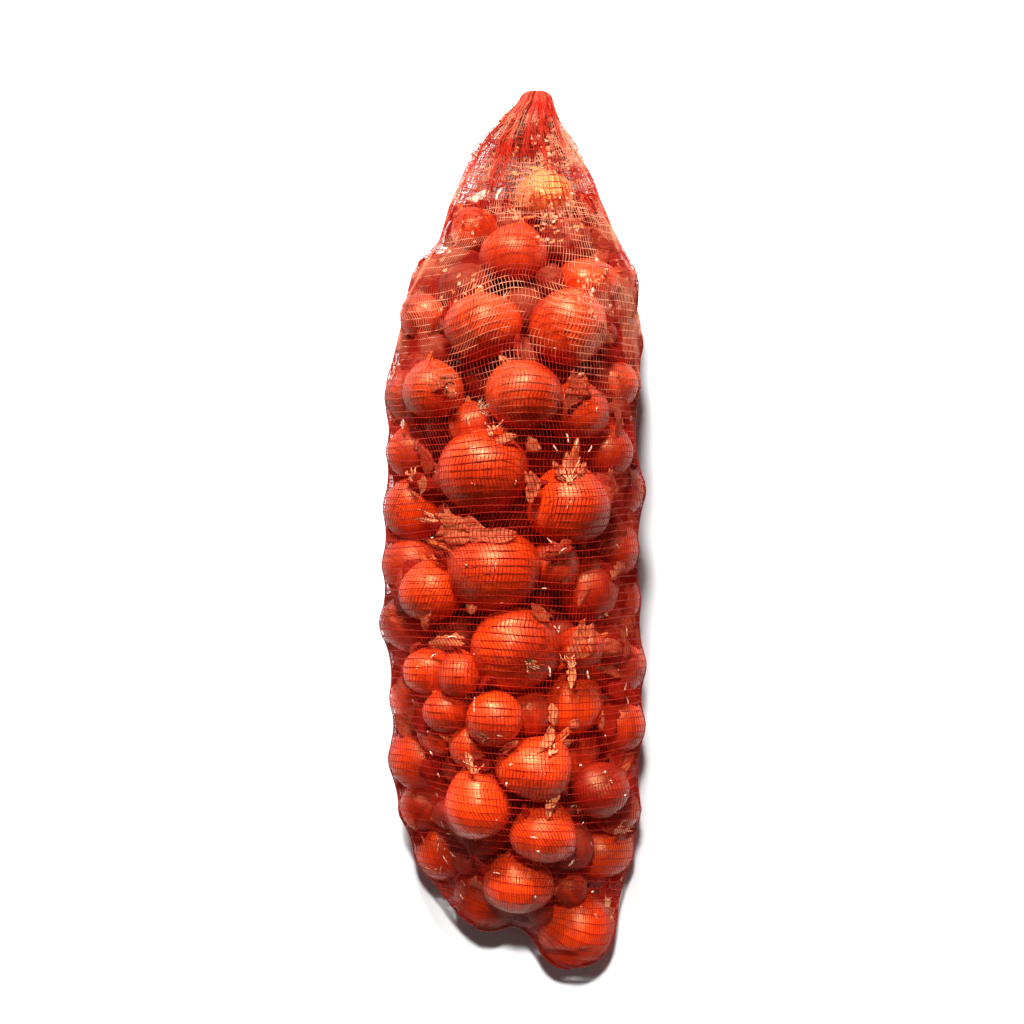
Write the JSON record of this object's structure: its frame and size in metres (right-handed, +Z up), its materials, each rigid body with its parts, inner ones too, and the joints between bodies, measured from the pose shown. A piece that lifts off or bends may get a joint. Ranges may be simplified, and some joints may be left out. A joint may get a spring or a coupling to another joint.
{
  "type": "net of onions",
  "caption": "Long tubular net sack full of onions, lying on its back, with a bumpy body, a bulging foot and an empty neck gathered to a point.",
  "frame": {"origin": "on the floor under the middle of the sack's bounding box", "axes": "+Y runs along the sack from its foot to its gathered neck, +Z points up through the shown side, +X points to the shown side's right"},
  "size_m": [0.22, 0.7338, 0.1755],
  "materials": {
    "net": "satin red plastic netting over brown-orange onions",
    "onion_skin": "dry, slightly glossy brown-orange skin with fine veins",
    "loose_skin": "thin, brittle, papery scraps of skin",
    "dry_root": "pale, matt root fibres"
  },
  "bodies": {
    "root": {"filled_net": "net"}
  },
  "joints": []
}
